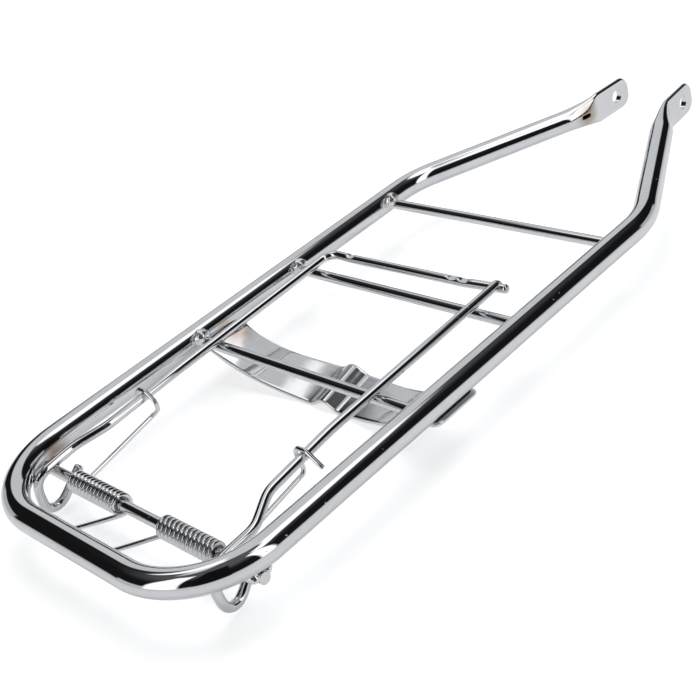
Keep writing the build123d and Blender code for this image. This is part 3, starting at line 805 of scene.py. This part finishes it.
bail = {
    "radius": 2.5,
    "halfWidth": 59.1,
    "leftCornerY": 232.0,
    "rightEndY": 238.6,
    "frontLift": 9.2,
    "cornerBend": 7.5,
    "kneeY": 110.0,
    "kneeBend": 150.0,
    # the two cranks were bent by hand: left, then right
    "crankY": (64.0, 66.8),
    "crankHalfWidth": 60.8,
    "crankDrop": 3.1,
    "crankBend": 11.0,
    "barRightY": 237.2,
    "barRightDrop": 1.6,
    "stub": 6.6,
    "leftKink": (-41.5, 231.5, -0.1),
    "rightKink": (38.0, 234.8, 0.3),
    "kinkBend": 10.0,
    # pinch marks: step from the kink, half length, share of the radius pressed in
    "leftDents": [((0.5, 0, 0), 2.6, 0.5)],
    "rightDents": [((-6, -0.7, 0), 3.2, 0.42), ((1.5, 0.3, 0), 3.4, 0.5)],
    "restOnRod": (143.0, 6.8),      # where the legs lie on the rear cross rod
    "eyeTopX": 68.7,
    "eyeShoulder": ((-0.7, 11.8, 2.8), (1.1, 14.2, 2.0)),
    "eyeFootX": 72.0,
    "eyeBehind": 15.0,
    "eyeTopGap": 2.0,
    "eyeHeight": 22.8,
    "eyeFoot": (-0.8, 9.2),
    "eyeTail": (-2.8, 10.2, -1.6),
    "eyeTopBend": 8.5,
    "eyeFootBend": 5.5,
    "weld": 3.1,
    "runStep": 1.5,
    "around": 36,
    "endRound": 1.6,
    "handBent": 9,                  # rounds of softening of the eyes and cranks
}


def legHeight(b, y):
    restY, restZ = b["restOnRod"]
    return restZ + (b["frontLift"] - restZ) * (y - restY) / (b["leftCornerY"] - restY)


def legCorners(b, frontY, side):
    # from the front to the open end of the eye, drawn on the right
    # side picks the leg's own crank: 0 for the left leg, 1 for the right one
    kneeZ = legHeight(b, b["kneeY"])
    topZ = pivot["z"] + pivot["radius"] + b["radius"] + b["eyeTopGap"]
    backY = pivot["y"] - b["eyeBehind"]
    footZ = topZ - b["eyeHeight"]
    crankY = b["crankY"][side]
    out, forward, rise = b["eyeShoulder"][side]
    footX, footY = b["eyeFoot"]
    tailX, tailY, tailZ = b["eyeTail"]
    return [
        (Vector((b["halfWidth"], frontY, legHeight(b, frontY))), b["cornerBend"]),
        (Vector((b["halfWidth"], b["kneeY"], kneeZ)), b["kneeBend"]),
        (Vector((b["crankHalfWidth"], crankY, kneeZ - b["crankDrop"])), b["crankBend"]),
        (Vector((b["eyeTopX"] + out, pivot["y"] + forward, topZ + rise)), b["crankBend"]),
        (Vector((b["eyeTopX"], backY, topZ)), b["eyeTopBend"]),
        (Vector((b["eyeFootX"], backY, footZ)), b["eyeFootBend"]),
        (Vector((b["eyeFootX"] + footX, backY + footY, footZ)), b["eyeFootBend"]),
        (Vector((b["eyeFootX"] + tailX, pivot["y"] + tailY, pivot["z"] + tailZ)), None),
    ]


def makeBail(b):
    def behindKnee(point):
        return point.y < b["kneeY"]

    left = [(Vector((-p.x, p.y, p.z)), r) for p, r in reversed(legCorners(b, b["leftCornerY"], 0))]
    leftZ = legHeight(b, b["leftCornerY"])
    rightZ = leftZ - b["barRightDrop"]
    joint = Vector((b["halfWidth"], b["barRightY"], rightZ))
    leftKink = Vector((b["leftKink"][0], b["leftKink"][1], leftZ + b["leftKink"][2]))
    rightKink = Vector((b["rightKink"][0], b["rightKink"][1], rightZ + b["rightKink"][2]))
    stubEnd = joint + (joint - rightKink).normalized() * b["stub"]
    corners = left + [(leftKink, b["kinkBend"]), (rightKink, b["kinkBend"]), (stubEnd, None)]
    corners[0] = (corners[0][0], None)
    longTrack = softened(bentTrack(corners, runStep=b["runStep"]), b["handBent"], behindKnee)
    dents = [(leftKink + Vector(step), half, depth) for step, half, depth in b["leftDents"]]
    dents += [(rightKink + Vector(step), half, depth) for step, half, depth in b["rightDents"]]
    plate = finish["chromeOnBentWire"]
    longPiece = wire(
        "clampWireLong", longTrack, b["radius"], plate, "clamp", b["around"], b["endRound"], dents)
    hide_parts("clamp_bail")
    rightTrack = bentTrack(legCorners(b, b["rightEndY"], 1), runStep=b["runStep"])
    rightTrack = softened(rightTrack, b["handBent"], behindKnee)
    shortPiece = wire(
        "clampWireShort", rightTrack, b["radius"], plate, "clamp", b["around"], b["endRound"])
    jointZ = legHeight(b, b["barRightY"]) - b["barRightDrop"] / 2
    return Vector((b["halfWidth"], b["barRightY"], jointZ))


clampJoint = makeBail(bail)
print("clamp wire bent")


def springTrack(s, hookY, hookSteps, side):
    tailSlope = math.radians(s["tailSlope"])
    armSlope = math.radians(s["armSlope"])
    turned = s["turns"] + (s["tailSlope"] + s["armSlope"]) / 360
    lead = s["wire"] * s["lead"]
    turnLength = math.hypot(s["pitch"], math.tau * s["meanRadius"])
    origin = Vector((s["innerX"] + lead * s["pitch"] / turnLength, pivot["y"], pivot["z"]))
    first = Vector((0, -math.sin(tailSlope), -math.cos(tailSlope)))
    second = Vector((0, math.cos(tailSlope), -math.sin(tailSlope)))
    coil = []
    steps = round(turned * s["stepsPerTurn"])
    for k in range(steps + 1):
        g = math.tau * turned * k / steps
        point = origin + (first * math.cos(g) + second * math.sin(g)) * s["meanRadius"]
        point.x += s["pitch"] * g / math.tau
        way = (second * math.cos(g) - first * math.sin(g)) * s["meanRadius"]
        way.x = s["pitch"] / math.tau
        coil.append((point, way.normalized()))
    (start, startWay), (end, endWay) = coil[0], coil[-1]
    tail = bentTrack([(springTailEnd(s), None), (start - startWay * lead, lead * 2), (start, None)])
    armCorner = end + endWay * lead
    armRise = (hookY - pivot["y"]) * math.tan(armSlope)
    corners = [(end, None), (armCorner, lead * 2)]
    corners.append((Vector((armCorner.x, hookY, pivot["z"] - s["meanRadius"] + armRise)), s["hookBend"]))
    share = (bail["kneeY"] - hookY) / (bail["kneeY"] - bail["crankY"][side])
    legX = bail["halfWidth"] + (bail["crankHalfWidth"] - bail["halfWidth"]) * share
    leg = Vector((legX, hookY, legHeight(bail, bail["kneeY"]) - s["hookDrop"]))
    for across, up in hookSteps:
        corners.append((leg + Vector((across, 0, up)), s["hookBend"]))
    corners[-1] = (corners[-1][0], None)
    return tail[:-1] + coil + bentTrack(corners)[1:]


def makeSprings(s):
    for name, track, hand in (
        ("leftSpring", flipped(springTrack(s, s["leftHookY"], s["leftHook"], 0)), -1),
        ("rightSpring", springTrack(s, s["rightHookY"], s["rightHook"], 1), 1),
    ):
        piece = wire(
            name, track, s["wire"], finish["platedSpringSteel"], None, s["around"], s["endRound"])
        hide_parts("left_spring" if hand < 0 else "right_spring")
        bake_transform(piece)


makeSprings(spring)
print("springs wound")

bracket = {
    "halfLength": 91.0,
    "sheet": 2.0,
    "top": -7.1,
    "rearY": 151.0,
    "frontY": 178.0,
    "rearDepth": 21.5,
    "frontDepth": 16.0,
    "flange": 11.5,
    "corner": 5.0,
    "frontEdge": (1.0, -2.6, 2.0),     # at the ends, the quarters and the middle
    "rearEdge": (-5.0, -1.4, 1.5),
    "ridgeHalf": 9.0,
    "ridgeHeight": 4.2,
    "ridgeSoft": 2.6,
    "rimRound": 0.6,
    "columns": 240,
    "rows": 26,
}


def edgeAt(values, share):
    # smooth curve through the end, quarter and middle values, share 0 to 1 from the middle
    end, quarter, middle = values
    rise2 = (16 * (quarter - middle) - (end - middle)) / 3
    rise4 = (end - middle) - rise2
    return middle + rise2 * share ** 2 + rise4 * share ** 4


def bracketHeight(b, x, y):
    # height of the top face; the dish is an arc across the rack, deeper at the rear
    tilt = (b["frontDepth"] - b["rearDepth"]) / (b["frontY"] - b["rearY"])
    depth = b["rearDepth"] + tilt * (y - b["rearY"])
    bendX = b["halfLength"] - b["flange"]
    away = abs(x)
    radius = (bendX ** 2 + depth ** 2) / (2 * depth)
    if away >= bendX:
        return b["top"]
    height = b["top"] - depth + radius - math.sqrt(radius ** 2 - away ** 2)
    # a pressed ridge, as one smooth wave
    share = min(1.0, away / (b["ridgeHalf"] + b["ridgeSoft"]))
    wave = (1 + math.cos(math.pi * share)) / 2
    sagged = max(0.0, b["ridgeHalf"] ** 2 - away ** 2) / (2 * radius)
    return height + b["ridgeHeight"] * wave + sagged * wave


def makeBracket(b):
    # top and bottom faces stop short of the outline, and the rim between them is rounded
    columns, rows = b["columns"], b["rows"]
    stride = rows + 1
    total = (columns + 1) * stride
    rim = [i * stride for i in range(columns + 1)]
    rim += [columns * stride + j for j in range(1, rows + 1)]
    rim += [i * stride + rows for i in range(columns - 1, -1, -1)]
    rim += [j for j in range(rows - 1, 0, -1)]
    soft, thick = b["rimRound"], b["sheet"]
    points, faces, loops = [], [], []
    upperRim = [(0, soft), (soft * 0.13, soft * 0.5), (soft * 0.5, soft * 0.13), (soft, 0)]
    lowerRim = [(thick - drop, inset) for drop, inset in reversed(upperRim)]
    for drop, inset in upperRim + lowerRim:
        grid = []
        half = b["halfLength"] - inset
        corner = b["corner"] - inset
        for i in range(columns + 1):
            x = half * (2 * i / columns - 1)
            share = abs(x) / b["halfLength"]
            rear = b["rearY"] + edgeAt(b["rearEdge"], share) + inset
            front = b["frontY"] + edgeAt(b["frontEdge"], share) - inset
            past = abs(x) - (half - corner)
            if past > 0:
                cut = corner - math.sqrt(max(0.0, corner ** 2 - past ** 2))
                rear, front = rear + cut, front - cut
            for j in range(rows + 1):
                y = rear + (front - rear) * j / rows
                grid.append(Vector((x, y, bracketHeight(b, x, y) - drop)))
        if drop in (0, thick):
            loops.append([len(points) + k for k in rim])
            points += [atFrame(p) for p in grid]
        else:
            loops.append(list(range(len(points), len(points) + len(rim))))
            points += [atFrame(grid[k]) for k in rim]
    under = len(points) - total
    for i in range(columns):
        for j in range(rows):
            a = i * stride + j
            faces.append((a, a + stride, a + stride + 1, a + 1))
            faces.append((under + a, under + a + 1, under + a + stride + 1, under + a + stride))
    for upper, lower in zip(loops, loops[1:]):
        for k in range(len(rim)):
            n = (k + 1) % len(rim)
            faces.append((upper[k], lower[k], lower[n], upper[n]))
    mesh = bpy.data.meshes.new("mudguardStrip")
    mesh.from_pydata(points, [], faces)
    mesh.update()
    plate = (finish["chromeOnPressedStrip"],)
    piece = finishPiece("mudguardStrip", mesh, plate, "rack", crispAngle["sheetAndWeld"])
    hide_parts("mudguard_bracket")


makeBracket(bracket)
print("mudguard strip pressed")

weld = {
    "rodY": (143.0, 221.0, 302.6),
    "leftSpot": (-76.3, 3.3),            # x and z of the proud beads on the left
    "leftSize": (4.4, 4.9, 4.6),
    "rightSpot": (79.6, -0.4),           # those on the right sit low in the corner
    "rightSize": (3.6, 3.7, 3.7),
    "pivotSize": (4.5, 2.9, 2.9),
    "pivotX": 83.7,
    "pivotSpread": 3.7,
    "pivotZ": -7.9,
    "bracketSize": (2.3, 4.5, 2.3),
    "bracketX": 79.75,
    "bracketZ": -6.3,
    "bracketY": (157.0, 172.0),
    "across": 28,
    "around": 40,
    "lumpScale": 1.6,
    "ripples": 13.0,
    "rippleBend": 3.0,
    "seedStep": (7.3, 1.9),
    "lump": 0.07,
    "ripple": 0.03,
}


def nugget(centre, size, seed, rippleAxis):
    # one bead: a lumpy ellipsoid with the ripples of the weld pool across its length
    across, around = weld["across"], weld["around"]
    stepX, stepY = weld["seedStep"]
    shift = Vector((seed * stepX, seed * stepY, 0))
    points, faces = [], []
    for i in range(across + 1):
        g = math.pi * i / across
        for k in range(around):
            h = math.tau * k / around
            unit = Vector((math.cos(g), math.sin(g) * math.cos(h), math.sin(g) * math.sin(h)))
            lump = noise.noise(unit * weld["lumpScale"] + shift)
            fold = math.cos(unit[rippleAxis] * weld["ripples"] + lump * weld["rippleBend"])
            swell = 1 + weld["lump"] * lump + weld["ripple"] * fold * (1 - unit[rippleAxis] ** 2)
            points.append(centre + Vector(a * b * swell for a, b in zip(unit, size)))
    for i in range(across):
        for k in range(around):
            n = (k + 1) % around
            faces.append((i * around + k, (i + 1) * around + k, (i + 1) * around + n, i * around + n))
    return points, faces


def makeWelds(w):
    spots = {-1: (w["leftSpot"], w["leftSize"]), 1: (w["rightSpot"], w["rightSize"])}
    beads = []
    seed = 1
    for hand in (-1, 1):
        for y in w["rodY"]:
            (x, z), size = spots[hand]
            beads.append((Vector((x, y, z)), size, 0))
        for step in (-1, 1):
            spot = Vector((hand * w["pivotX"], pivot["y"] + step * w["pivotSpread"], w["pivotZ"]))
            beads.append((spot, w["pivotSize"], 0))
        for y in w["bracketY"]:
            beads.append((Vector((hand * w["bracketX"], y, w["bracketZ"])), w["bracketSize"], 1))
    points, faces = [], []
    for centre, size, axis in beads:
        beadPoints, beadFaces = nugget(centre, size, seed, axis)
        faces += [tuple(i + len(points) for i in face) for face in beadFaces]
        points += [atFrame(p) for p in beadPoints]
        seed += 1
    mesh = bpy.data.meshes.new("weldBeads")
    mesh.from_pydata(points, [], faces)
    plate, angle = (finish["chromeOverWeld"],), crispAngle["sheetAndWeld"]
    piece = finishPiece("weldBeads", mesh, plate, "rack", angle)
    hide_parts("weld_beads")
    points, faces = nugget(clampJoint, (bail["weld"], bail["weld"] * 1.05, bail["weld"]), seed, 1)
    mesh = bpy.data.meshes.new("clampWeld")
    mesh.from_pydata([atFrame(p) for p in points], [], faces)
    piece = finishPiece("clampWeld", mesh, plate, "clamp", angle)


makeWelds(weld)
print("welds laid")
